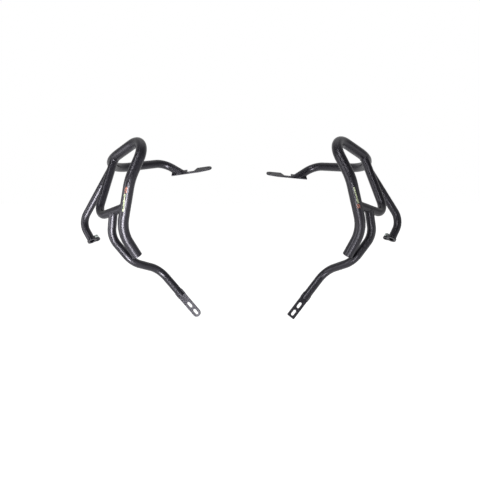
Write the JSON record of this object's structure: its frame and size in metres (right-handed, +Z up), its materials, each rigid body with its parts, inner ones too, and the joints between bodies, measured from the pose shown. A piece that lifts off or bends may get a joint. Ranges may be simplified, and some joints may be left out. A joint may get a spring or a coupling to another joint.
{
  "type": "motorcycle crash bars",
  "caption": "Left and right bent-tube crash bars that bolt to a motorcycle's frame and guard its engine and fairing in a fall.",
  "frame": {"origin": "middle of the box round the pair", "axes": "+X across the pair to the right bar, +Y from the front towards the back, +Z up"},
  "size_m": [0.9532, 0.4002, 0.4907],
  "materials": {
    "coat": "black powder coat, satin to gloss",
    "zinc": "zinc plated"
  },
  "bodies": {
    "root": {"left_main_tube": "coat", "left_end_disc": "coat", "left_loop_tube": "coat", "left_lower_arm": "coat", "left_rear_arm": "coat", "left_strap_bracket": "coat", "left_slot_bracket": "coat", "left_foot_plate": "coat", "left_foot_nut": "zinc", "right_main_tube": "coat", "right_end_disc": "coat", "right_loop_tube": "coat", "right_lower_arm": "coat", "right_rear_arm": "coat", "right_strap_bracket": "coat", "right_slot_bracket": "coat", "right_foot_plate": "coat", "right_foot_nut": "zinc"}
  },
  "joints": []
}
